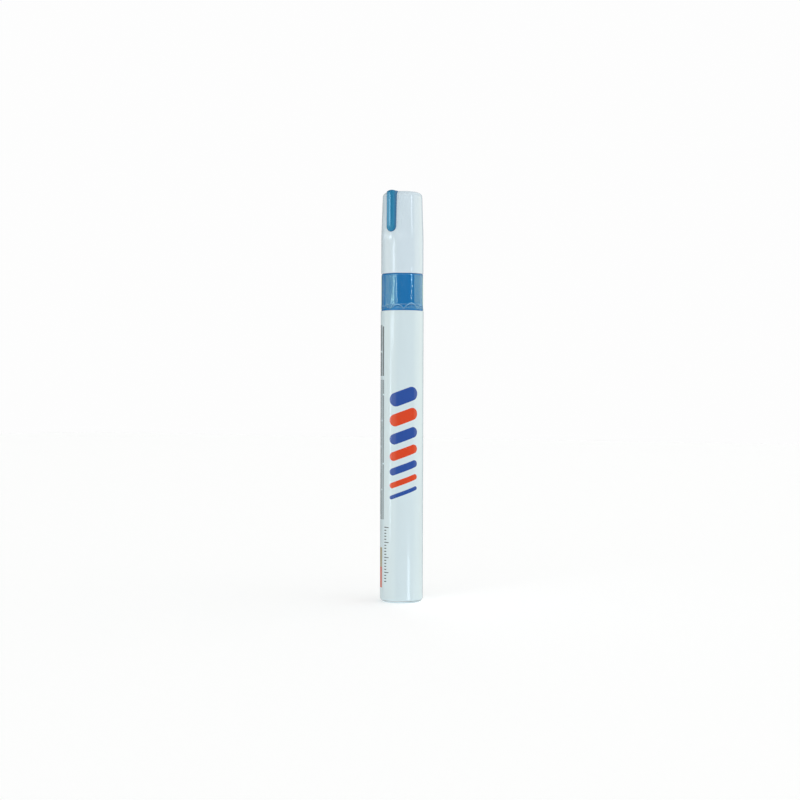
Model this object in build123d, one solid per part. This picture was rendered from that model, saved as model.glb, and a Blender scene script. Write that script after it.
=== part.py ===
from build123d import *

import math
import os

# A valve-action paint marker: a lacquered aluminium barrel, a coloured collar that carries a
# spring-loaded valve and a felt nib, and a push-on cap with an inner cap and a colour tab.
# The marker stands on its closed end. The origin is the centre of the base, +Z runs along the
# axis towards the cap, and -Y is the side that the colour tab is on. Sizes are in millimetres.

# Fits
press_clearance = 0.02
slide_clearance = 0.08
joint_gap = 0.05

# Barrel: an impact-extruded can, closed at the base
barrel_diameter = 14.4
barrel_wall = 0.45
barrel_length = 97.3
base_thickness = 1.2
base_corner_radius = 1.6
base_recess_diameter = 8.4
base_recess_depth = 0.4
mouth_rounding = 0.2

# Mixing ball, loose in the paint
ball_diameter = 6.0

# Collar: the coloured band between barrel and cap, its spigot and its neck
band_step = 0.25
band_length = 12.3
band_edge_radius = 0.3
spigot_length = 9.0
spigot_chamfer = 0.5
neck_length = 6.7
neck_edge_radius = 0.4
bead_height = 0.2
bead_rise = 3.5

# Seal ring between the spigot and the barrel
seal_ring_section = 1.2
seal_ring_squeeze = 0.18
seal_ring_drop = 4.5
seal_groove_play = 0.4

# Nib and the nose that guides it
nib_diameter = 4.0
nib_point_diameter = 2.6
nib_point_radius = 1.1
nib_taper_length = 4.0
nib_protrusion = 4.7
nib_travel = 2.5
nose_wall = 1.25
nose_stem_length = 12.0
nose_flange_width = 0.9
nose_flange_thickness = 1.0
nose_land_length = 3.5
nose_cone_length = 5.0
nose_tip_wall = 0.7
nose_tip_radius = 0.3
feed_groove_count = 4
feed_groove_width = 0.6
feed_groove_depth = 0.4

# Valve: a seat under the collar's web, and a plunger that a spring holds shut
web_thickness = 1.5
web_drop = 0.5
valve_rod_diameter = 3.0
valve_rod_margin = 0.5
flow_gap = 0.3
seat_lip = 0.2
valve_seat_thickness = 1.2
valve_head_thickness = 1.5
valve_head_margin = 0.1
guide_pin_diameter = 2.2
guide_pin_clearance = 0.2
guide_pin_entry = 0.8

# Spring and the cage that holds it
spring_wire = 0.4
spring_diameter = 4.6
spring_length = 13.5
spring_turns = 8
spring_end_gap = 0.45
cage_clearance = 0.4
cage_wall = 0.8
cage_end_thickness = 1.2
cage_window_count = 4
cage_window_width = 2.2
cage_window_length = 6.5
cage_window_rise = 1.2
cage_port_diameter = 1.2

# Cap shell
cap_step = 0.13
cap_wall = 1.2
cap_taper = 0.5
cap_taper_length = 14.8
cap_taper_blend = 60.0
cap_bore_step = 0.2
cap_bore_step_rise = 1.0
cap_crown_thickness = 1.25
cap_crown_radius = 1.6
cap_rim_radius = 0.25
cap_headroom = 4.5

# Inner cap, which seals on the nose
inner_cap_wall = 0.6
inner_cap_top = 0.7
inner_cap_mouth_gap = 0.6
inner_cap_flange_height = 2.0
inner_cap_rib_count = 6
inner_cap_rib_width = 0.7
inner_cap_rib_start = 1.5

# Colour tab, hooked over the cap's crown
tab_width = 3.45
tab_length = 13.6
tab_face_radius = 3.5
tab_edge_radius = 0.35
tab_seat_depth = 0.45
tab_height = 0.7
tab_crown_height = 0.3
tab_turn_radius = 0.85
tab_reach = 4.2
tab_peg_diameter = 1.5
tab_peg_inset = 2.8

# Clear film shrunk over the joint of collar and barrel
film_thickness = 0.06
film_lap = 3.0
film_slope = 0.6
film_top_margin = 0.3

# Radii that the pieces share, from the barrel inwards
barrel_radius = barrel_diameter / 2
barrel_bore = barrel_radius - barrel_wall
band_radius = barrel_radius - band_step
spigot_radius = barrel_bore - press_clearance
cap_radius = band_radius + cap_step
cap_bore = cap_radius - cap_wall
neck_radius = cap_bore - slide_clearance - bead_height
cap_upper_bore = cap_bore - cap_bore_step
cap_top_radius = cap_radius - cap_taper

# Radii that the pieces share, from the nib outwards
nib_radius = nib_diameter / 2
nose_bore = nib_radius + slide_clearance
nose_radius = nose_bore + nose_wall
neck_bore = nose_radius + press_clearance
inner_cap_bore = nose_radius + slide_clearance
inner_cap_radius = inner_cap_bore + inner_cap_wall
rod_radius = valve_rod_diameter / 2
seat_hole = rod_radius + flow_gap
web_hole = seat_hole + seat_lip
spring_outer = (spring_diameter + spring_wire) / 2
head_radius = spring_outer + valve_head_margin
cage_bore = spring_outer + cage_clearance
cage_radius = cage_bore + cage_wall
cage_seat_bore = cage_radius + press_clearance
pin_radius = guide_pin_diameter / 2

# Heights along the axis, upwards from the barrel's mouth
mouth_z = barrel_length
shoulder_z = mouth_z + band_length
neck_top_z = shoulder_z + neck_length
land_z = neck_top_z + nose_flange_thickness
cone_z = land_z + nose_land_length
nose_tip_z = cone_z + nose_cone_length
nib_tip_z = nose_tip_z + nib_protrusion
inner_ceiling_z = nib_tip_z + cap_headroom
crown_under_z = inner_ceiling_z + inner_cap_top + joint_gap
crown_z = crown_under_z + cap_crown_thickness
rim_z = shoulder_z + joint_gap

# Heights along the axis, downwards from the barrel's mouth
spigot_z = mouth_z - spigot_length
web_top_z = mouth_z - web_drop
web_under_z = web_top_z - web_thickness
nib_rear_z = web_top_z + nib_travel + valve_rod_margin
seat_under_z = web_under_z - valve_seat_thickness
cone_rise = head_radius - rod_radius
head_top_z = seat_under_z - (head_radius - seat_hole) - press_clearance
head_under_z = head_top_z - valve_head_thickness
spring_seat_z = head_under_z - spring_length
cage_end_z = spring_seat_z - cage_end_thickness
pin_end_z = spring_seat_z - guide_pin_entry
ball_z = base_thickness + press_clearance + ball_diameter / 2
ball_travel = min(cage_end_z, pin_end_z - nib_travel) - slide_clearance - ball_diameter / 2 - ball_z


def outline(points, *corners):
    """A flat face through the points, with some corners rounded, each given as (point, radius)."""
    face = make_face(Polyline(*points, close=True))
    for corner, radius in corners:
        face = fillet(face.vertices().sort_by_distance(corner)[0], radius)
    return face


def turned(points, *corners):
    """A solid of revolution about the axis, from an outline of (radius, height) points."""
    return revolve(Plane.XZ * outline(points, *corners), Axis.Z)


def tube(outer, inner, low, high):
    """A plain ring or tube about the axis."""
    return turned([(inner, low), (outer, low), (outer, high), (inner, high)])


def around(count, piece):
    """Copies of a piece, evenly spaced about the axis."""
    return [Rot(0, 0, 360 / count * turn) * piece for turn in range(count)]


def barrel_tube():
    """The lacquered can: thin wall, thicker base with a shallow recess, rounded mouth."""
    recess = base_recess_diameter / 2
    points = [
        (0, base_recess_depth),
        (recess - base_recess_depth, base_recess_depth),
        (recess, 0),
        (barrel_radius, 0),
        (barrel_radius, mouth_z),
        (barrel_bore, mouth_z),
        (barrel_bore, base_thickness),
        (0, base_thickness),
    ]
    inner_corner = max(base_corner_radius - barrel_wall, mouth_rounding)
    return turned(
        points,
        ((barrel_radius, 0), base_corner_radius),
        ((barrel_bore, base_thickness), inner_corner),
        ((barrel_radius, mouth_z), min(mouth_rounding, 0.9 * barrel_wall)),
    )


def mixing_ball():
    """The steel ball that stirs the paint when the marker is shaken, at rest on the base."""
    return Pos(0, 0, ball_z) * Sphere(ball_diameter / 2)


def collar():
    """The coloured collar: spigot in the barrel, band, neck for the cap, and the valve's web."""
    points = [
        (cage_seat_bore, spigot_z),
        (spigot_radius, spigot_z),
        (spigot_radius, mouth_z),
        (band_radius, mouth_z),
        (band_radius, shoulder_z),
        (neck_radius, shoulder_z),
        (neck_radius, neck_top_z),
        (neck_bore, neck_top_z),
        (neck_bore, web_top_z),
        (web_hole, web_top_z),
        (web_hole, web_under_z),
        (cage_seat_bore, web_under_z),
    ]
    body = turned(
        points,
        ((spigot_radius, spigot_z), spigot_chamfer),
        ((band_radius, mouth_z), min(band_edge_radius, 0.6 * (band_radius - spigot_radius))),
        ((band_radius, shoulder_z), band_edge_radius),
        ((neck_radius, neck_top_z), neck_edge_radius),
    )
    bead = revolve(Plane.XZ * (Pos(neck_radius, shoulder_z + bead_rise) * Circle(bead_height)), Axis.Z)
    return body + bead - seal_groove()


def seal_groove():
    """The groove in the spigot that the seal ring lies in."""
    floor = barrel_bore - seal_ring_section + seal_ring_squeeze
    half_width = (seal_ring_section + seal_groove_play) / 2
    middle = mouth_z - seal_ring_drop
    return tube(barrel_radius, floor, middle - half_width, middle + half_width)


def seal_ring():
    """The seal ring as it sits, flattened between the groove's floor and the barrel's bore."""
    low = barrel_bore - seal_ring_section + seal_ring_squeeze + press_clearance
    high = barrel_bore - press_clearance
    height = mouth_z - seal_ring_drop
    room = Pos((low + high) / 2, height) * Rectangle(high - low, seal_ring_section * 2)
    section = Pos((low + high) / 2, height) * Circle(seal_ring_section / 2) & room
    return revolve(Plane.XZ * section, Axis.Z)


def valve_seat():
    """The soft washer under the web that the plunger's cone closes."""
    return tube(cage_radius, seat_hole, seat_under_z, web_under_z)


def valve_plunger():
    """The valve's moving piece: rod under the nib, sealing cone and head, and a guide pin."""
    return turned(
        [
            (0, pin_end_z),
            (pin_radius, pin_end_z),
            (pin_radius, head_under_z),
            (head_radius, head_under_z),
            (head_radius, head_top_z),
            (rod_radius, head_top_z + cone_rise),
            (rod_radius, nib_rear_z),
            (0, nib_rear_z),
        ],
        ((pin_radius, pin_end_z), pin_radius / 2),
    )


def spring_height(turn):
    """How far the wire has climbed after a number of turns: close end turns, open ones between."""
    end_pitch = spring_wire + spring_end_gap
    climb = spring_length - spring_wire - 2 * press_clearance
    open_pitch = (climb - 2 * end_pitch) / (spring_turns - 2)
    open_turns = min(max(turn - 1, 0), spring_turns - 2)
    return end_pitch * (turn - open_turns) + open_pitch * open_turns


def spring_point(turn):
    """A point of the wire's centre line."""
    angle = 2 * math.pi * turn
    radius = spring_diameter / 2
    start = spring_seat_z + press_clearance + spring_wire / 2
    return Vector(radius * math.cos(angle), radius * math.sin(angle), start + spring_height(turn))


def spring_direction(turn):
    """The way the wire runs at a point of its centre line."""
    angle = 2 * math.pi * turn
    step = 0.25
    before = max(turn - step, 0)
    after = min(turn + step, spring_turns)
    climb = (spring_height(after) - spring_height(before)) / (after - before)
    run = math.pi * spring_diameter
    return Vector(-run * math.sin(angle), run * math.cos(angle), climb).normalized()


def biarc(start, start_direction, end, end_direction):
    """Two arcs, tangent to each other, from one point and direction to another."""
    chord = end - start
    both = start_direction + end_direction
    bend = 2 * (1 - start_direction.dot(end_direction))
    along = chord.dot(both)
    reach = (-along + math.sqrt(along**2 + bend * chord.dot(chord))) / bend
    middle = (start + start_direction * reach + end - end_direction * reach) * 0.5
    first = TangentArc(start, middle, tangent=start_direction)
    second = TangentArc(middle, end, tangent=first % 1)
    return [first, second]


def valve_spring():
    """The compression spring, one unbroken wire swept along half-turn biarcs."""
    halves = [half / 2 for half in range(2 * spring_turns + 1)]
    arcs = []
    for start, end in zip(halves, halves[1:]):
        arcs += biarc(
            spring_point(start), spring_direction(start), spring_point(end), spring_direction(end)
        )
    section = Plane(origin=spring_point(0), z_dir=spring_direction(0)) * Circle(spring_wire / 2)
    return sweep(section, path=Wire(arcs))


def spring_least_gap():
    """The least gap between one turn of the spring and another, measured on points."""
    points_per_turn = 24
    line = [spring_point(n / points_per_turn) for n in range(spring_turns * points_per_turn + 1)]
    far = points_per_turn // 2
    pairs = ((a, b) for n, a in enumerate(line) for b in line[n + far :])
    return min((a - b).length for a, b in pairs) - spring_wire


def valve_cage():
    """The cage pressed into the collar, with windows for the paint and a guide for the pin."""
    guide_hole = pin_radius + guide_pin_clearance
    body = tube(cage_radius, cage_bore, spring_seat_z, seat_under_z)
    end = tube(cage_radius, guide_hole, cage_end_z, spring_seat_z)
    window_z = spring_seat_z + cage_window_rise + cage_window_length / 2
    window = Pos(cage_radius, 0, window_z) * Box(
        2 * (cage_wall + cage_clearance), cage_window_width, cage_window_length
    )
    port = Pos((guide_hole + cage_bore) / 2, 0, (cage_end_z + spring_seat_z) / 2) * Cylinder(
        cage_port_diameter / 2, 2 * cage_end_thickness
    )
    turned_port = Rot(0, 0, 180 / cage_window_count) * port
    return body + end - around(cage_window_count, window) - around(cage_window_count, turned_port)


def nib_holder():
    """The nose: a stem in the neck, a flange, a land for the inner cap and a cone, all bored."""
    stem_z = neck_top_z - nose_stem_length
    flange = nose_radius + nose_flange_width
    tip = nose_bore + nose_tip_wall
    body = turned(
        [
            (nose_bore, stem_z),
            (nose_radius, stem_z),
            (nose_radius, neck_top_z),
            (flange, neck_top_z),
            (flange, land_z),
            (nose_radius, land_z),
            (nose_radius, cone_z),
            (tip, nose_tip_z),
            (nose_bore, nose_tip_z),
        ],
        ((flange, land_z), nose_tip_radius),
        ((tip, nose_tip_z), min(nose_tip_radius, 0.4 * nose_tip_wall)),
    )
    middle_z = (stem_z + nose_tip_z) / 2
    groove = Pos(nose_bore, 0, middle_z) * Box(
        2 * feed_groove_depth, feed_groove_width, 2 * (nose_tip_z - stem_z)
    )
    return body - around(feed_groove_count, groove)


def nib():
    """The felt nib: a fibre rod with a tapered, rounded point."""
    point = nib_point_diameter / 2
    return turned(
        [
            (0, nib_rear_z),
            (nib_radius, nib_rear_z),
            (nib_radius, nib_tip_z - nib_taper_length),
            (point, nib_tip_z),
            (0, nib_tip_z),
        ],
        ((point, nib_tip_z), min(nib_point_radius, 0.9 * point)),
    )


def cap_shell():
    """The cap's outer shell, slightly tapered, with a seat for the tab and holes for its pegs."""
    step_z = neck_top_z + cap_bore_step_rise
    taper_z = crown_z - cap_taper_length
    body = turned(
        [
            (cap_bore, rim_z),
            (cap_radius, rim_z),
            (cap_radius, taper_z),
            (cap_top_radius, crown_z),
            (0, crown_z),
            (0, crown_under_z),
            (cap_upper_bore, crown_under_z),
            (cap_upper_bore, step_z),
            (cap_bore, step_z),
        ],
        ((cap_radius, rim_z), cap_rim_radius),
        ((cap_bore, rim_z), cap_rim_radius),
        ((cap_radius, taper_z), cap_taper_blend),
        ((cap_top_radius, crown_z), cap_crown_radius),
    )
    return body - tab_bar(press_clearance) - tab_pegs(press_clearance)


def tab_front(margin, side):
    """How far the tab's curved face stands out at a distance to the side, from its own middle."""
    return margin - tab_face_radius + math.sqrt(tab_face_radius**2 - side**2)


def tab_section(margin, depth, start):
    """The tab's section from a start across to one side: a curved face, round edges, a flat back."""
    half = tab_width / 2 + margin
    middle = (start + half) / 2
    start_front, middle_front, edge_front = (tab_front(margin, side) for side in (start, middle, half))
    front = ThreePointArc((start, start_front), (middle, middle_front), (half, edge_front))
    rest = Polyline((half, edge_front), (half, -depth), (start, -depth), (start, start_front))
    face = make_face(front + rest)
    sides = [side for side in (-half, half) if side >= start]
    edges = [face.vertices().sort_by_distance((side, edge_front))[0] for side in sides]
    return fillet(edges, tab_edge_radius + margin)


def tab_bar(margin):
    """The tab's bar: down the side of the cap and over its crown, grown by a margin for its seat."""
    half = tab_width / 2 + margin
    front = -cap_radius - tab_height
    seat = -cap_top_radius + tab_seat_depth + margin
    foot_z = crown_z - tab_length + tab_width / 2
    top_z = crown_z + tab_crown_height
    turn_y = front + tab_turn_radius
    turn_z = top_z - tab_turn_radius
    end_y = front + tab_reach - tab_width / 2
    side_depth = seat - front
    top_depth = tab_crown_height + cap_crown_radius

    foot_plane = Plane(origin=(0, front, foot_z), x_dir=(-1, 0, 0), z_dir=(0, 0, 1))
    turn_plane = Plane(origin=(0, front, turn_z), x_dir=(-1, 0, 0), z_dir=(0, 0, 1))
    over_plane = Plane(origin=(0, turn_y, top_z), x_dir=(-1, 0, 0), z_dir=(0, 1, 0))
    end_plane = Plane(origin=(0, end_y, top_z), x_dir=(-1, 0, 0), z_dir=(0, 1, 0))
    foot_axis = Axis((0, 0, foot_z), (0, 1, 0))
    turn_axis = Axis((0, turn_y, turn_z), (1, 0, 0))
    end_axis = Axis((0, end_y, 0), (0, 0, 1))

    foot = revolve(foot_plane * tab_section(margin, side_depth, 0), foot_axis, 360)
    bar = extrude(foot_plane * tab_section(margin, side_depth, -half), turn_z - foot_z)
    turn = revolve(turn_plane * tab_section(margin, tab_turn_radius, -half), turn_axis, 360)
    over = extrude(over_plane * tab_section(margin, top_depth, -half), end_y - turn_y)
    end = revolve(end_plane * tab_section(margin, top_depth, 0), end_axis, 360)

    core_z = crown_z - tab_seat_depth - margin
    core = Pos(0, seat + tab_reach, core_z - tab_length / 2) * Box(2 * tab_width, 2 * tab_reach, tab_length)
    core_edge = core.edges().filter_by(Axis.X).group_by(Axis.Z)[-1].sort_by(Axis.Y)[0]
    core = fillet(core_edge, cap_crown_radius - tab_seat_depth)
    return foot + bar + turn + over + end - core


def tab_pegs(margin):
    """The tab's two pegs, through the wall of the cap behind its seat."""
    seat = -cap_top_radius + tab_seat_depth
    radius = tab_peg_diameter / 2 + margin
    length = seat + math.sqrt(cap_upper_bore**2 - radius**2) - margin
    peg = extrude(Plane.XZ.offset(-seat - length) * Circle(radius), length)
    low = crown_z - tab_length + tab_peg_inset
    high = crown_under_z - tab_peg_inset
    return Pos(0, 0, low) * peg + Pos(0, 0, high) * peg


def colour_tab():
    """The coloured tab that shows the paint's colour and keeps the marker from rolling."""
    return tab_bar(0) + tab_pegs(0)


def inner_cap():
    """The soft inner cap: a thimble over the nose, held in the shell by its flange and ribs."""
    skirt_z = land_z + inner_cap_mouth_gap
    flange = cap_upper_bore - press_clearance
    flange_z = inner_ceiling_z - inner_cap_flange_height
    top_z = inner_ceiling_z + inner_cap_top
    body = turned(
        [
            (inner_cap_bore, skirt_z),
            (inner_cap_radius, skirt_z),
            (inner_cap_radius, flange_z),
            (flange, flange_z),
            (flange, top_z),
            (0, top_z),
            (0, inner_ceiling_z),
            (inner_cap_bore, inner_ceiling_z),
        ]
    )
    rib_z = max(skirt_z + inner_cap_rib_start, neck_top_z + cap_bore_step_rise)
    inside = inner_cap_radius - inner_cap_wall / 2
    outside = flange - press_clearance
    rib = Pos((inside + outside) / 2, 0, (rib_z + flange_z) / 2) * Box(
        outside - inside, inner_cap_rib_width, flange_z - rib_z
    )
    return body + around(inner_cap_rib_count, rib)


def seal_film():
    """The clear film shrunk round the collar and the barrel's mouth."""
    low = mouth_z - film_lap
    high = shoulder_z - film_top_margin
    on_barrel = barrel_radius + press_clearance
    on_band = band_radius + press_clearance
    inside = [(on_barrel, low), (on_barrel, mouth_z), (on_band, mouth_z + film_slope), (on_band, high)]
    outside = [(radius + film_thickness, height) for radius, height in reversed(inside)]
    return turned(inside + outside)


pieces = {
    "barrel_tube": barrel_tube(),
    "mixing_ball": mixing_ball(),
    "collar": collar(),
    "seal_ring": seal_ring(),
    "valve_seat": valve_seat(),
    "valve_plunger": valve_plunger(),
    "valve_spring": valve_spring(),
    "valve_cage": valve_cage(),
    "nib_holder": nib_holder(),
    "nib": nib(),
    "cap_shell": cap_shell(),
    "inner_cap": inner_cap(),
    "colour_tab": colour_tab(),
    "seal_film": seal_film(),
}

os.makedirs("parts", exist_ok=True)
for name, piece in pieces.items():
    export_step(piece, f"parts/{name}.step")

print(f"height to the crown {crown_z:.2f}, to the tab's top {crown_z + tab_crown_height:.2f}")
print(f"mixing ball travels {ball_travel:.2f}")
print(f"spring: least gap between turns {spring_least_gap():.2f}")
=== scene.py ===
import math

import bmesh
import bpy
from mathutils import Matrix, Vector


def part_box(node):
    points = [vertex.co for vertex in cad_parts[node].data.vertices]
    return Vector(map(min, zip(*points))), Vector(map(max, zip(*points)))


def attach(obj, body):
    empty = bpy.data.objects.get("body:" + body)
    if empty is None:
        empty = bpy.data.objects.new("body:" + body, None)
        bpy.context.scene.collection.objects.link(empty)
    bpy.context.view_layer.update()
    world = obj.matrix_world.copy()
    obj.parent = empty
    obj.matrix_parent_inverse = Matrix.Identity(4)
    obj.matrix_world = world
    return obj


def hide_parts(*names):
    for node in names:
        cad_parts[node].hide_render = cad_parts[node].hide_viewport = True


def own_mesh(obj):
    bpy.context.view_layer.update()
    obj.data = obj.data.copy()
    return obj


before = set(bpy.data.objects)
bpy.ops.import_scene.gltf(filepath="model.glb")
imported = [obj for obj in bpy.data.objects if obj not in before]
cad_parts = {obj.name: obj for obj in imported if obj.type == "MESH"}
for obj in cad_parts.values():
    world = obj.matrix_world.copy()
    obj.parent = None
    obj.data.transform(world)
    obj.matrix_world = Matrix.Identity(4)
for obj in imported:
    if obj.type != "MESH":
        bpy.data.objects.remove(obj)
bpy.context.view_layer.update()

# Barrel
# An aluminium can drawn from one slug, closed at the base and stoved with white gloss lacquer.
# Stroke samples, two panels of lines, a colour block and a scale are screened on the lacquer.
mm = 0.001
barrel_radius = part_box("barrel_tube")[1].x
print_front = math.radians(32)


def srgb(red, green, blue):
    """A colour as its screen values, 0 to 255, made linear."""
    parts = [part / 255 for part in (red, green, blue)]
    return [p / 12.92 if p <= 0.04045 else ((p + 0.055) / 1.055) ** 2.4 for p in parts] + [1.0]


class Value:
    """A socket that takes part in sums, which add their Math nodes."""

    def __init__(self, finish, socket):
        self.finish = finish
        self.socket = socket

    def other(self, name):
        return Value(self.finish, self.socket.node.outputs[name])

    def __add__(self, term):
        return self.finish.sum("ADD", self, term)

    def __sub__(self, term):
        return self.finish.sum("SUBTRACT", self, term)

    def __rsub__(self, term):
        return self.finish.sum("SUBTRACT", term, self)

    def __mul__(self, term):
        return self.finish.sum("MULTIPLY", self, term)

    def __truediv__(self, term):
        return self.finish.sum("DIVIDE", self, term)

    def __lt__(self, term):
        return self.finish.sum("LESS_THAN", self, term)

    def __gt__(self, term):
        return self.finish.sum("GREATER_THAN", self, term)

    def __abs__(self):
        return self.finish.sum("ABSOLUTE", self)

    __radd__ = __add__
    __rmul__ = __mul__


class Nodes:
    """A node tree: one method makes every node, and the others say what is often needed."""

    def __init__(self, tree):
        self.tree = tree
        self.tree.nodes.clear()

    def node(self, kind, settings=None, sockets=None, output=0):
        made = self.tree.nodes.new(kind)
        for name, value in (settings or {}).items():
            setattr(made, name, value)
        for name, value in (sockets or {}).items():
            if isinstance(value, Value):
                self.tree.links.new(value.socket, made.inputs[name])
            else:
                made.inputs[name].default_value = value
        return Value(self, made.outputs[output] if made.outputs else None)

    def sum(self, operation, *terms):
        return self.node("ShaderNodeMath", {"operation": operation}, dict(enumerate(terms)))

    def locate(self, spot, turn, scale):
        """Takes x, y and z from a vector, turned back about the axis and scaled."""
        placing = {"Vector": spot, "Rotation": (0, 0, -turn), "Scale": (scale, scale, scale)}
        self.place = self.node("ShaderNodeMapping", {}, placing)
        self.x = self.node("ShaderNodeSeparateXYZ", {}, {0: self.place})
        self.y = self.x.other("Y")
        self.z = self.x.other("Z")

    def angle(self):
        """Round the axis from -Y, anticlockwise seen from above, in degrees."""
        return self.sum("ARCTAN2", self.x, 0 - self.y) * math.degrees(1)

    def between(self, value, low, high):
        return (value > low) * (value < high)

    def ramp(self, value, low, high):
        """0 below low, 1 above high and smooth between, or falling where low is over high."""
        limits = {"Value": value, "From Min": low, "From Max": high}
        return self.node("ShaderNodeMapRange", {"interpolation_type": "SMOOTHSTEP"}, limits)

    def vary(self, share, ends):
        """From the first of two values to the second, as a share goes from 0 to 1."""
        start, end = ends
        return start + share * (end - start)

    def mix(self, share, start, end):
        """One colour going over into another."""
        return self.node("ShaderNodeMix", {"data_type": "RGBA"}, {0: share, 6: start, 7: end}, 2)


class Finish(Nodes):
    """One finish: its nodes, the place on the piece in millimetres, and its surface."""

    def __init__(self, name, turn=0.0):
        self.material = bpy.data.materials.new(name)
        self.material.use_nodes = True
        super().__init__(self.material.node_tree)
        self.locate(self.node("ShaderNodeTexCoord", output="Object"), turn, 1 / mm)

    def radius(self):
        return self.sum("SQRT", self.x * self.x + self.y * self.y)

    def noise(self, size, detail=2.0, stretch=(1, 1, 1)):
        """Soft noise from 0 to 1, with spots of about this size in millimetres."""
        scale = [1 / (size * part) for part in stretch]
        spot = self.node("ShaderNodeMapping", {}, {"Vector": self.place, "Scale": scale})
        return self.node("ShaderNodeTexNoise", {}, {"Vector": spot, "Scale": 1.0, "Detail": detail})

    def bump(self, height):
        """The normal over a height in millimetres."""
        return self.node("ShaderNodeBump", {}, {"Height": height, "Strength": 1.0, "Distance": mm})

    def surface(self, sockets):
        self.show(self.node("ShaderNodeBsdfPrincipled", {}, sockets))

    def show(self, shader):
        self.node("ShaderNodeOutputMaterial", {}, {"Surface": shader})

    def coat(self, *node_names):
        """Puts this finish on CAD nodes."""
        for name in node_names:
            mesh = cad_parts[name].data
            mesh.materials.clear()
            mesh.materials.append(self.material)


lacquer = Finish("white_lacquer", print_front)
lacquer_white = srgb(220, 237, 243)
lacquer_cloud = srgb(215, 232, 239)
ink_blue = srgb(46, 84, 166)
ink_orange = srgb(226, 74, 38)
ink_olive = srgb(176, 166, 136)
ink_red = srgb(216, 118, 100)
ink_grey = srgb(112, 120, 124)
ink_dark = srgb(66, 76, 84)
bare_metal = srgb(206, 208, 210)

# The print is laid out in degrees and millimetres round the barrel, and in millimetres up it.
barrel_angle = lacquer.angle()
barrel_arc = barrel_angle * math.radians(barrel_radius / mm)

stroke_count = 7
stroke_narrowest = 1.3
stroke_widening = 0.55
stroke_length = 10.3
stroke_gap = 2.05
stroke_slant = math.radians(20)
stroke_base = 36.0
stroke_middle = math.radians(5.25) * barrel_radius / mm
stroke_side = barrel_arc - stroke_middle
stroke_run = stroke_side * math.cos(stroke_slant) + lacquer.z * math.sin(stroke_slant)
stroke_rise = lacquer.z * math.cos(stroke_slant) - stroke_side * math.sin(stroke_slant)
strokes = [0.0, 0.0]
stroke_z = stroke_base
for count in range(stroke_count):
    width = stroke_narrowest + count * stroke_widening
    stroke_z += width / 2 / math.cos(stroke_slant)
    run = abs(stroke_run - stroke_z * math.sin(stroke_slant)) - (stroke_length - width) / 2
    past_end = lacquer.sum("MAXIMUM", run, 0.0)
    rise = stroke_rise - stroke_z * math.cos(stroke_slant)
    inside = past_end * past_end + rise * rise < (width / 2) ** 2
    strokes[count % 2] = strokes[count % 2] + inside
    stroke_z += (width / 2 + stroke_gap) / math.cos(stroke_slant)
blue_strokes, orange_strokes = strokes

panel_left, panel_right = -150, -57
line_start = math.radians(panel_right) * barrel_radius / mm
break_every = 23.0
break_share = 0.025
break_shift = 0.377


def ruled_lines(low, high, pitch, share):
    """Lines along the barrel between two heights, from the panel's edge on, with a few breaks."""
    row = (line_start - barrel_arc) / pitch
    number = lacquer.sum("FLOOR", row)
    lines = (lacquer.sum("FRACT", row) < share) * lacquer.between(lacquer.z, low, high)
    whole = lacquer.sum("FRACT", lacquer.z / break_every + number * break_shift) > break_share
    return lines * whole * lacquer.between(barrel_angle, panel_left, panel_right)


lower_panel = ruled_lines(low=27.7, high=74.2, pitch=1.0, share=0.5)
upper_panel = ruled_lines(low=75.5, high=92.5, pitch=1.3, share=0.65)
panel = lower_panel + upper_panel

block_sides = (-110, -64)
block_ends = (4.9, 18.3)
block_split = 11.8
block = lacquer.between(barrel_angle, *block_sides) * lacquer.between(lacquer.z, *block_ends)

scale_start = -6.6
scale_ends = (6.9, 25.3)
tick_length = 1.0
tick_width = 0.3
long_tick_every = 5
long_tick_length = 2.0
long_tick_width = 0.25
short_ticks = lacquer.sum("FRACT", lacquer.z) < tick_width
short_ticks = short_ticks * (barrel_arc < scale_start + tick_length)
long_ticks = lacquer.sum("FRACT", lacquer.z / long_tick_every) < long_tick_width / long_tick_every
long_ticks = long_ticks * (barrel_arc < scale_start + long_tick_length)
scale_zone = (barrel_arc > scale_start) * lacquer.between(lacquer.z, *scale_ends)
scale_marks = lacquer.sum("MAXIMUM", short_ticks, long_ticks) * scale_zone

# Metal shows on the inside, beyond these depths of skin, and in chips along the edge of the base.
skin = 0.25
base_skin = 0.6
wear_heights = (1.2, 0.3)
wear_radii = (6.2, 6.9)
chip_size = 0.9
chip_limit = 0.6
inside_wall = (lacquer.radius() < barrel_radius / mm - skin) * (lacquer.z > base_skin)
base_edge = lacquer.ramp(lacquer.z, *wear_heights) * lacquer.ramp(lacquer.radius(), *wear_radii)
chips = (lacquer.noise(chip_size, detail=4.0) * base_edge) > chip_limit
metal = lacquer.sum("MAXIMUM", inside_wall, chips)

cloud_size = 22.0
cloud_share = 0.3
haze_size = 6.0
lacquer_roughness = (0.05, 0.1)
ink_roughness = 0.06
metal_roughness = 0.25
ink_height = 0.006
peel_size = 0.7
peel_height = 0.003
clouds = lacquer.noise(cloud_size) * cloud_share
lacquer_tone = lacquer.mix(clouds, lacquer_white, lacquer_cloud)
block_tone = lacquer.mix(lacquer.z < block_split, ink_olive, ink_red)
lacquer_tone = lacquer.mix(block, lacquer_tone, block_tone)
lacquer_tone = lacquer.mix(panel, lacquer_tone, ink_grey)
lacquer_tone = lacquer.mix(scale_marks, lacquer_tone, ink_dark)
lacquer_tone = lacquer.mix(blue_strokes, lacquer_tone, ink_blue)
lacquer_tone = lacquer.mix(orange_strokes, lacquer_tone, ink_orange)
lacquer_tone = lacquer.mix(metal, lacquer_tone, bare_metal)
printed = blue_strokes + orange_strokes + panel + block + scale_marks
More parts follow.
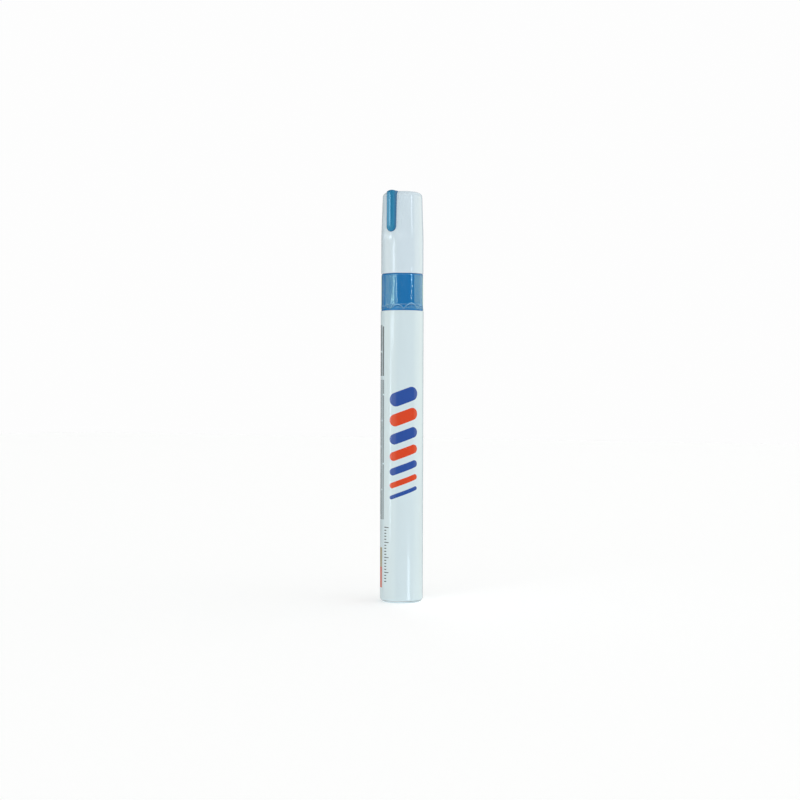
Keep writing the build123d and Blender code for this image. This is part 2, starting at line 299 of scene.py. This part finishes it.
haze = lacquer.vary(lacquer.noise(haze_size, detail=4.0), lacquer_roughness)
lacquer.surface(
    {
        "Base Color": lacquer_tone,
        "Metallic": metal,
        "Roughness": haze + printed * ink_roughness + metal * metal_roughness,
        "Normal": lacquer.bump(printed * ink_height + lacquer.noise(peel_size) * peel_height),
    }
)
lacquer.coat("barrel_tube")

# Mixing ball
# A bearing ball of hard steel, ground and polished. It lies loose in the paint, and stirs the
# pigment when the marker is shaken.
grinding_size = 0.3
grinding_stretch = (1, 1, 6)
grinding_height = 0.001
ball_roughness = (0.12, 0.24)
ball_steel = Finish("ball_steel")
grinding = ball_steel.noise(grinding_size, detail=3.0, stretch=grinding_stretch)
ball_steel.surface(
    {
        "Base Color": ball_steel.mix(grinding, srgb(188, 190, 194), srgb(222, 223, 225)),
        "Metallic": 1.0,
        "Roughness": ball_steel.vary(grinding, ball_roughness),
        "Normal": ball_steel.bump(grinding * grinding_height),
    }
)
ball_steel.coat("mixing_ball")

# Collar
# Blue polypropylene, moulded in one piece: the band that shows, the spigot that is pressed into
# the barrel and the neck that the cap goes over. Two fine lines mark where the mould parts.
flow_size = 3.0
flow_stretch = (1, 1, 4)
flow_height = 0.004
grain_size = 0.4
grain_height = 0.001
polish_size = 1.6
moulded_roughness = (0.025, 0.055)
parting_half_width = 0.07
parting_from = 5.0


def moulded(name, main, deep, shine, line_height, painted_shade_share=None, painted_shade_tone=None):
    """Glossy moulded plastic with a clouded tone, fine flow marks, a mould line and maybe a painted
    shade along a rim.
    """
    finish = Finish(name)
    flow = finish.noise(flow_size, detail=3.0, stretch=flow_stretch)
    parting = finish.ramp(abs(finish.y), parting_half_width, 0.0) * (abs(finish.x) > parting_from)
    tone = finish.mix(flow, main, deep)
    if painted_shade_share:
        # Painted shade: the tone darkens towards the rim.
        tone = finish.mix(painted_shade_share(finish), tone, painted_shade_tone)
    height = flow * flow_height + finish.noise(grain_size) * grain_height + parting * line_height
    finish.surface(
        {
            "Base Color": tone,
            "Specular Tint": shine,
            "Roughness": finish.vary(finish.noise(polish_size, detail=4.0), moulded_roughness),
            "Normal": finish.bump(height),
        }
    )
    return finish


blue_shine = srgb(195, 245, 255)
band_blue = srgb(23, 126, 198)
band_deep = srgb(17, 117, 189)
collar_blue = moulded("collar_blue", band_blue, band_deep, blue_shine, line_height=0.006)
collar_blue.coat("collar")

# Seal ring and valve seat
# Black nitrile rubber, the ring squeezed between spigot and barrel, the seat under the collar's
# web where the plunger closes on it. Both are matt, with talc left in the grain.
talc_size = 0.5
talc_share = 0.5
talc_height = 0.02
rubber_roughness = (0.55, 0.85)
rubber = Finish("seal_rubber")
talc = rubber.noise(talc_size, detail=5.0)
rubber.surface(
    {
        "Base Color": rubber.mix(talc * talc_share, srgb(38, 38, 40), srgb(78, 78, 80)),
        "Roughness": rubber.vary(talc, rubber_roughness),
        "Normal": rubber.bump(talc * talc_height),
    }
)
rubber.coat("seal_ring", "valve_seat")

# Plunger, cage and nose
# Natural polypropylene, milky and half matt, moulded: the plunger is pushed open by the nib, the
# cage holds the spring behind it, and the nose is pressed into the neck and guides the nib.
milk_size = 2.5
satin_size = 0.8
pore_size = 0.35
pore_height = 0.006
natural_roughness = (0.3, 0.48)
natural = Finish("natural_plastic")
milk = natural.noise(milk_size, detail=3.0)
natural.surface(
    {
        "Base Color": natural.mix(milk, srgb(232, 234, 230), srgb(217, 221, 217)),
        "Roughness": natural.vary(natural.noise(satin_size, detail=4.0), natural_roughness),
        "Normal": natural.bump(natural.noise(pore_size) * pore_height),
    }
)
natural.coat("valve_plunger", "valve_cage", "nib_holder")

# Valve spring
# Stainless wire, wound as a compression spring with close end turns. It stands on the cage's
# floor, pushes the plunger shut, and is squashed when the nib is pressed in.
spring_wire = 0.4 * mm
spring_turns = 8
spring_end_pitch = 0.85 * mm
wire_sides = 10
turn_steps = 40
spring_low, spring_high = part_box("valve_spring")
coil_radius = spring_high.x - spring_wire / 2
spring_climb = spring_high.z - spring_low.z - spring_wire
open_turns = spring_turns - 2
open_pitch = (spring_climb - 2 * spring_end_pitch) / open_turns

coil = bmesh.new()
start_place = Matrix.Translation((coil_radius, 0, spring_low.z + spring_wire / 2))
start_place = start_place @ Matrix.Rotation(math.radians(90), 4, "X")
bmesh.ops.create_circle(
    coil, cap_ends=True, radius=spring_wire / 2, segments=wire_sides, matrix=start_place
)
end_face = list(coil.faces)
for turns, pitch in ((1, spring_end_pitch), (open_turns, open_pitch), (1, spring_end_pitch)):
    grown = bmesh.ops.spin(
        coil,
        geom=end_face,
        axis=(0, 0, 1),
        dvec=(0, 0, pitch / turn_steps),
        angle=2 * math.pi * turns,
        steps=turns * turn_steps,
    )
    end_face = [part for part in grown["geom_last"] if isinstance(part, bmesh.types.BMFace)]
bmesh.ops.remove_doubles(coil, verts=coil.verts, dist=spring_wire / 1000)
bmesh.ops.recalc_face_normals(coil, faces=coil.faces)


def finished(name, shape, finish, body, slot, *node_names):
    """A smooth object made from a bmesh, riding on a body, in place of any CAD nodes named."""
    mesh = bpy.data.meshes.new(name)
    shape.to_mesh(mesh)
    shape.free()
    mesh.shade_smooth()
    mesh.materials.append(finish.material)
    piece = bpy.data.objects.new(name, mesh)
    bpy.context.scene.collection.objects.link(piece)
    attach(piece, body)
    if node_names:
        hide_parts(*node_names)
    return piece


drawing_size = 0.12
drawing_height = 0.002
spring_roughness = (0.2, 0.35)
spring_steel = Finish("spring_steel")
drawing = spring_steel.noise(drawing_size, detail=3.0)
spring_steel.surface(
    {
        "Base Color": spring_steel.mix(drawing, srgb(176, 178, 180), srgb(214, 214, 212)),
        "Metallic": 1.0,
        "Roughness": spring_steel.vary(drawing, spring_roughness),
        "Normal": spring_steel.bump(drawing * drawing_height),
    }
)
spring = finished("spring_coil", coil, spring_steel, "barrel", "spring_steel", "valve_spring")
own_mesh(spring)

# Nib
# Pressed polyester felt, a rod ground to a bullet point. The fibres run along it, and the paint
# has not yet reached it.
nib_low, nib_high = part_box("nib")
nib_radius = nib_high.x
nib_segments = 96
point_radius = 1.3 * mm
point_taper = 4.0 * mm
point_rounding = 1.1 * mm
point_steps = 10

felt_rod = bmesh.new()
bmesh.ops.create_cone(
    felt_rod,
    cap_ends=True,
    segments=nib_segments,
    radius1=nib_radius,
    radius2=nib_radius,
    depth=nib_high.z - nib_low.z - point_taper,
    matrix=Matrix.Translation((0, 0, (nib_low.z + nib_high.z - point_taper) / 2)),
)
top = max(felt_rod.faces, key=lambda face: face.calc_center_median().z)
tip = bmesh.ops.extrude_discrete_faces(felt_rod, faces=[top])["faces"][0]
bmesh.ops.translate(felt_rod, verts=tip.verts, vec=(0, 0, point_taper))
point_share = point_radius / nib_radius
bmesh.ops.scale(felt_rod, verts=tip.verts, vec=(point_share, point_share, 1))
bmesh.ops.bevel(
    felt_rod,
    geom=list(tip.edges),
    offset=point_rounding,
    offset_type="OFFSET",
    affect="EDGES",
    segments=point_steps,
    profile=0.5,
    material=-1,
)

fibre_size = 0.12
fibre_stretch = (1, 1, 14)
fibre_height = 0.03
felt_roughness = (0.75, 0.95)
felt = Finish("nib_felt")
fibre = felt.noise(fibre_size, detail=4.0, stretch=fibre_stretch)
felt.surface(
    {
        "Base Color": felt.mix(fibre, srgb(236, 235, 228), srgb(208, 208, 200)),
        "Roughness": felt.vary(fibre, felt_roughness),
        "Normal": felt.bump(fibre * fibre_height),
    }
)
finished("felt_nib", felt_rod, felt, "nib", "felt", "nib")

# Cap shell
# White polypropylene, moulded glossy with a slight taper and a rounded crown. It is pushed over
# the neck until its rim meets the band. A gate mark is left in the middle of the crown.
white = (1, 1, 1, 1)
cap_pale = srgb(220, 236, 245)
cap_deep = srgb(216, 232, 242)
cap_white = moulded("cap_white", cap_pale, cap_deep, white, line_height=0.004)
cap_white.coat("cap_shell")
crown_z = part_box("cap_shell")[1].z
gate_segments = 64
gate_radius = 0.9 * mm
gate_height = 0.12 * mm
gate_lip = 0.3 * mm
gate_hollow = 0.07 * mm
gate_sink = 0.02 * mm
gate_rounding = gate_height / 3
gate_steps = 3

gate = bmesh.new()
bmesh.ops.create_cone(
    gate,
    cap_ends=True,
    segments=gate_segments,
    radius1=gate_radius,
    radius2=gate_radius - gate_height,
    depth=gate_height + gate_sink,
    matrix=Matrix.Translation((0, 0, crown_z + (gate_height - gate_sink) / 2)),
)
scar = max(gate.faces, key=lambda face: face.calc_center_median().z)
scar_edges = list(scar.edges)
bmesh.ops.inset_region(gate, faces=[scar], thickness=gate_lip, use_even_offset=True)
bmesh.ops.translate(gate, verts=scar.verts, vec=(0, 0, -gate_hollow))
bmesh.ops.bevel(
    gate,
    geom=scar_edges,
    offset=gate_rounding,
    offset_type="OFFSET",
    affect="EDGES",
    segments=gate_steps,
    profile=0.5,
    material=-1,
)
finished("gate_mark", gate, cap_white, "cap", "white_plastic")

# Inner cap
# A thimble of soft natural polyethylene, pressed into the cap, which seals on the nose. It is as
# milky as the pieces of the valve.
natural.coat("inner_cap")

# Colour tab
# Blue polypropylene, moulded, hooked over the crown and held by two pegs. It shows the paint's
# colour and stops the marker rolling. Along its rim the tone is darkened by painted shade.
tab_low, tab_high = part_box("colour_tab")
tab_half = tab_high.x / mm
tab_painted_shade_width = 0.45
tab_tone = srgb(46, 134, 178)
tab_deep = srgb(38, 124, 168)
# The colour of the painted shade along the tab's rim.
tab_painted_shade = srgb(60, 114, 158)


def tab_painted_shade_share(finish):
    """How near a point of the tab is to its outline, whose lower end is round, for its painted
    shade.
    """
    past_end = finish.sum("MAXIMUM", tab_low.z / mm + tab_half - finish.z, 0.0)
    out = finish.sum("SQRT", finish.x * finish.x + past_end * past_end)
    return finish.ramp(out, tab_half - tab_painted_shade_width, tab_half)


tab_blue = moulded(
    "tab_blue",
    tab_tone,
    tab_deep,
    blue_shine,
    line_height=0.0,
    painted_shade_share=tab_painted_shade_share,
    painted_shade_tone=tab_painted_shade,
)
tab_blue.coat("colour_tab")

# Seal film
# Clear shrink film round the joint of collar and barrel, proof that the marker is unused. It
# lies on the band, and bridges the step to the barrel's mouth in a loose, scalloped fold.
film_low, film_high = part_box("seal_film")
film_thickness = 0.06 * mm
film_gap = 0.02 * mm
film_segments = 240
film_rows = 30
mouth_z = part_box("barrel_tube")[1].z
band_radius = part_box("collar")[1].x
film_inside = band_radius + film_gap
film_outside = barrel_radius + film_gap
fold_zone = 3.6 * mm

sleeve = bmesh.new()
# Where the fold lines lie: they stand out a little, and are milky with a painted highlight.
crease = sleeve.verts.layers.float.new("crease")
# Where a painted shade goes, just under each fold line.
shade = sleeve.verts.layers.float.new("shade")
film_heights = (film_low.z, mouth_z, mouth_z + fold_zone / 2, mouth_z + fold_zone, film_high.z)
film_line = [sleeve.verts.new((0, -film_inside, height)) for height in film_heights]
for start, end in zip(film_line, film_line[1:]):
    sleeve.edges.new((start, end))
bmesh.ops.subdivide_edges(sleeve, edges=list(sleeve.edges), cuts=film_rows)
bmesh.ops.spin(
    sleeve,
    geom=list(sleeve.verts) + list(sleeve.edges),
    axis=(0, 0, 1),
    angle=2 * math.pi,
    steps=film_segments,
    use_merge=True,
)
bmesh.ops.remove_doubles(sleeve, verts=sleeve.verts, dist=film_thickness / 100)
bmesh.ops.recalc_face_normals(sleeve, faces=sleeve.faces)

# Two scalloped lines run round the sleeve. Each has a count of arches, the place where one starts,
# the height of its low points above the barrel's mouth, the rise of its arches, and a strength.
fold_lines = (
    (8, math.radians(3), 0.45 * mm, 1.9 * mm, 1.0),
    (9, math.radians(-21), 1.7 * mm, 0.35 * mm, 0.3),
)
fold_middle = math.radians(25.5)
fold_drift = 0.3
fold_flattening = 0.5
fold_bead = 0.06 * mm
fold_bead_width = 0.12 * mm
fold_shade_below = 0.3 * mm
ripple = 0.012 * mm
ripple_waves = ((9, 1.1 / mm), (14, -0.7 / mm))


def smooth_step(share):
    """0 and 1 at the ends of a share, level there and smooth between."""
    share = min(max(share, 0.0), 1.0)
    return share * share * (3 - 2 * share)


for vert in sleeve.verts:
    turn = math.atan2(vert.co.x, -vert.co.y) - print_front
    rise = vert.co.z - mouth_z
    away = turn - fold_middle
    drift = fold_drift * (1 - math.cos(away)) * math.sin(2 * away)
    arch_share = 1 - fold_flattening * (1 - math.cos(2 * away)) / 2
    bridge = fold_zone
    for arches, start, low, height, strength in fold_lines:
        arch = abs(math.sin(arches / 2 * (turn + drift - start)))
        fold = low + height * arch_share * arch
        bridge = min(bridge, fold)
        off_line = (rise - fold) / fold_bead_width
        off_shade = (rise - fold + fold_shade_below) / fold_bead_width
        vert[crease] += strength * math.exp(-(off_line ** 2))
        vert[shade] += strength * math.exp(-(off_shade ** 2))
    slope = smooth_step(1 - rise / bridge)
    loose = smooth_step(rise / fold_zone) * smooth_step((film_high.z - vert.co.z) / fold_zone)
    waves = sum(math.sin(count * turn + climb * rise) for count, climb in ripple_waves)
    out = film_inside + slope * (film_outside - film_inside)
    out += fold_bead * vert[crease] + ripple * loose * (1 + waves / 2)
    spot = Vector((vert.co.x, vert.co.y, 0)).normalized() * out
    vert.co = (spot.x, spot.y, vert.co.z)
bmesh.ops.solidify(sleeve, geom=list(sleeve.faces), thickness=-film_thickness)

film = Finish("clear_film")
film_tone = (0.7, 1, 0.65, 1)
film_roughness = 0.09
film_shine_share = 0.045
film_rim_share = 0.4
film_rim_power = 6.0
film_shine_fade = 0.8
slack_size = 3.0
slack_stretch = (1, 1, 3)
slack_height = 0.013
slack = film.noise(slack_size, stretch=slack_stretch)
film_normal = film.bump(slack * slack_height)
film_shine = film.node(
    "ShaderNodeBsdfAnisotropic",
    {},
    {"Color": film_tone, "Roughness": film_roughness, "Normal": film_normal},
)
film_clear = film.node("ShaderNodeBsdfTransparent", {}, {"Color": white})
facing = film.node("ShaderNodeLayerWeight", {}, {"Blend": 0.5, "Normal": film_normal}, "Facing")
film_gloss = film_shine_share + film_rim_share * film.sum("POWER", facing, film_rim_power)
film_gloss = film_gloss * film.ramp(film.z, mouth_z / mm, mouth_z / mm + film_shine_fade)
film_look = film.node("ShaderNodeMixShader", {}, {0: film_gloss, 1: film_clear, 2: film_shine})

# The fold is milky along its lines with a painted highlight on them, has a painted shade under
# them, and fades away from its middle.
fold_angle = math.degrees(print_front + fold_middle)
fold_fading = (70, 30)
fold_strength = (0.4, 1.0)
shade_share = 0.5
crease_share = 0.95
fold_near = film.ramp(abs(film.angle() - fold_angle), *fold_fading)
fold_near = film.vary(fold_near, fold_strength)
painted_shade_under_fold = film.node("ShaderNodeAttribute", {"attribute_name": "shade"}, {}, "Fac")
painted_shade_under_fold = painted_shade_under_fold * fold_near * shade_share
milk_and_highlight_on_fold = film.node("ShaderNodeAttribute", {"attribute_name": "crease"}, {}, "Fac")
milk_and_highlight_on_fold = milk_and_highlight_on_fold * fold_near * crease_share
# The painted shade under the fold lines.
film_painted_shade = film.node("ShaderNodeBsdfTransparent", {}, {"Color": srgb(120, 176, 200)})
# The fold lines are milky, with a painted highlight on them.
film_milk_and_highlight = film.node("ShaderNodeBsdfDiffuse", {}, {"Color": srgb(150, 214, 255)})
film_look = film.node("ShaderNodeMixShader", {}, {0: painted_shade_under_fold, 1: film_look, 2: film_painted_shade})
film_look = film.node("ShaderNodeMixShader", {}, {0: milk_and_highlight_on_fold, 1: film_look, 2: film_milk_and_highlight})
film.show(film_look)
finished("film_sleeve", sleeve, film, "barrel", "clear_film", "seal_film")

# Floor and light
# The marker stands on a white sheet in a pale room, with lit walls to the left and right, a dark
# space on the photographer's side and panes of daylight. The camera sees plain white behind it.
floor_size = 4.0
floor_mesh = bmesh.new()
bmesh.ops.create_grid(floor_mesh, x_segments=1, y_segments=1, size=floor_size / 2)
floor_data = bpy.data.meshes.new("floor")
floor_mesh.to_mesh(floor_data)
floor_mesh.free()
floor = bpy.data.objects.new("floor", floor_data)
bpy.context.scene.collection.objects.link(floor)
floor.visible_glossy = False

sheet_grain_size = 2.0
sheet_glow = 0.35
sheet = Finish("white_sheet")
sheet_grain = sheet.noise(sheet_grain_size, detail=3.0)
sheet.surface(
    {
        "Base Color": sheet.mix(sheet_grain, srgb(246, 247, 247), srgb(243, 244, 244)),
        "Roughness": 0.9,
        "Emission Color": white,
        "Emission Strength": sheet_glow,
    }
)
floor_data.materials.append(sheet.material)

world = bpy.data.worlds.new("studio")
bpy.context.scene.world = world
world.use_nodes = True
studio = Nodes(world.node_tree)
studio.locate(studio.node("ShaderNodeTexCoord", output="Generated"), print_front, 1.0)
studio_side = studio.angle()
studio_rise = studio.sum("ARCSINE", studio.z) * math.degrees(1)


def window(left, right, low, high, soft):
    """A patch between two directions and two heights, in degrees, soft at its edges."""
    across = studio.ramp(studio_side, left - soft, left + soft)
    across = across * studio.ramp(studio_side, right + soft, right - soft)
    along = studio.ramp(studio_rise, low - soft, low + soft)
    return across * along * studio.ramp(studio_rise, high + soft, high - soft)


def add_patches(light, patches):
    """Light with patches added to it, or taken from it where a patch is below nothing."""
    for strength, *place in patches.values():
        light = light + strength * window(*place)
    return light


# Each patch has its strength, its left and right side, counted from the camera's direction, its
# low and high edge, and their softness. It is named for its place or for what it draws.
even_light = 0.74
left_wall = (-105, -34, -14, 14)
right_wall = (70, 135, -14, 14)
wall_softness = 3
room_patches = {
    "photographer's side": (-0.57, -32, 70, -60, 14, 3),
    "left wall": (0.39, *left_wall, 2),
    "right wall": (0.62, *right_wall, wall_softness),
    "right wall, lower part": (-0.15, 70, 135, -14, 3.1, 0.2),
    "right wall, foot": (-0.45, 70, 135, -14, -2.5, 1.5),
    "ceiling in front": (0.40, -40, 75, 20, 75, 6),
    "ceiling on the left": (-0.57, -170, -40, 18, 75, 4),
    "ceiling on the right": (0.11, 75, 170, 18, 75, 4),
    "left corner": (-0.5, -170, -108, -6, 14, 2),
    "right corner": (-0.5, 145, 168, -20, 20, 2),
    "dark middle of the tab": (-0.9, -58, -34, 6.1, 8.8, 0.3),
    "light right side of the tab": (0.8, -34, 25, 6.1, 8.8, 0.3),
    "edge of the base, right": (-0.6, 60, 179, -80, -26, 4),
    "edge of the base, left": (-0.35, -179, -100, -80, -26, 4),
    "left edge of the band": (0.45, -140, -112, 3.4, 4.5, 0.1),
    "right edge of the band": (0.6, 140, 170, 3.4, 4.5, 0.1),
    "gap between the band's left lines": (-0.45, -42, -33, 3.3, 4.5, 0.1),
}
pane_patches = {
    "left line on the upper barrel": (4.6, -64, -46, 2.0, 3.2, 0.15),
    "left line on the lower barrel": (3.4, -68, -60, -5.0, 1.8, 0.3),
    "left line on the band": (1.8, -52, -44, 3.3, 4.5, 0.1),
    "left line on the cap": (4.2, -54, -42, 4.5, 5.65, 0.15),
    "second left line on the band": (5.0, -33, -28, 3.3, 4.5, 0.1),
    "right line on the cap": (4.5, 51, 57, 8.2, 11.4, 0.4),
    "right line on the band": (16.0, 50, 56, 4.1, 4.55, 0.1),
    "right line near the base": (4.6, 33, 45, -30, -5.5, 0.5),
    "line on the tab": (6.5, -77, -61, 6.1, 7.5, 0.3),
    "light left side of the tab": (1.5, -125, -77, 6.1, 7.5, 0.3),
}
room_light = add_patches(even_light, room_patches)
pane_light = add_patches(0.0, pane_patches)

warm_wall = (1.06, 1, 0.75, 1)
daylight = (0.88, 1.0, 1.2, 1)
backdrop_light = 0.985
walls = window(*left_wall, wall_softness) + window(*right_wall, wall_softness)
room_tone = studio.mix(walls, white, warm_wall)
room = studio.node("ShaderNodeBackground", {}, {"Color": room_tone, "Strength": room_light})
outdoors = studio.node("ShaderNodeBackground", {}, {"Color": daylight, "Strength": pane_light})
lamp = studio.node("ShaderNodeAddShader", {}, {0: room, 1: outdoors})
backdrop = studio.node("ShaderNodeBackground", {}, {"Color": white, "Strength": backdrop_light})
seen = studio.node("ShaderNodeLightPath", output="Is Camera Ray")
sky = studio.node("ShaderNodeMixShader", {}, {0: seen, 1: lamp, 2: backdrop})
studio.node("ShaderNodeOutputWorld", {}, {"Surface": sky})

# Camera
# The photograph is taken level with the middle of the marker, from a little to the right of the
# colour tab, with a lens of 72 mm on a full frame.
camera_distance = 0.537
camera_height = 0.0675
camera_left = 0.00064
camera_roll = math.radians(0.18)
camera_lens = 72
full_frame = 36

view_from = Vector((math.sin(print_front), -math.cos(print_front), 0))
view_right = Vector((math.cos(print_front), math.sin(print_front), 0))
camera_data = bpy.data.cameras.new("camera")
camera_data.lens = camera_lens
camera_data.sensor_width = full_frame
camera = bpy.data.objects.new("camera", camera_data)
bpy.context.scene.collection.objects.link(camera)
camera.location = view_from * camera_distance - view_right * camera_left
camera.location.z = camera_height
level = Matrix.Rotation(print_front, 4, "Z") @ Matrix.Rotation(math.radians(90), 4, "X")
camera.rotation_euler = (level @ Matrix.Rotation(camera_roll, 4, "Z")).to_euler()
bpy.context.scene.camera = camera
bpy.context.scene.view_settings.view_transform = "Standard"
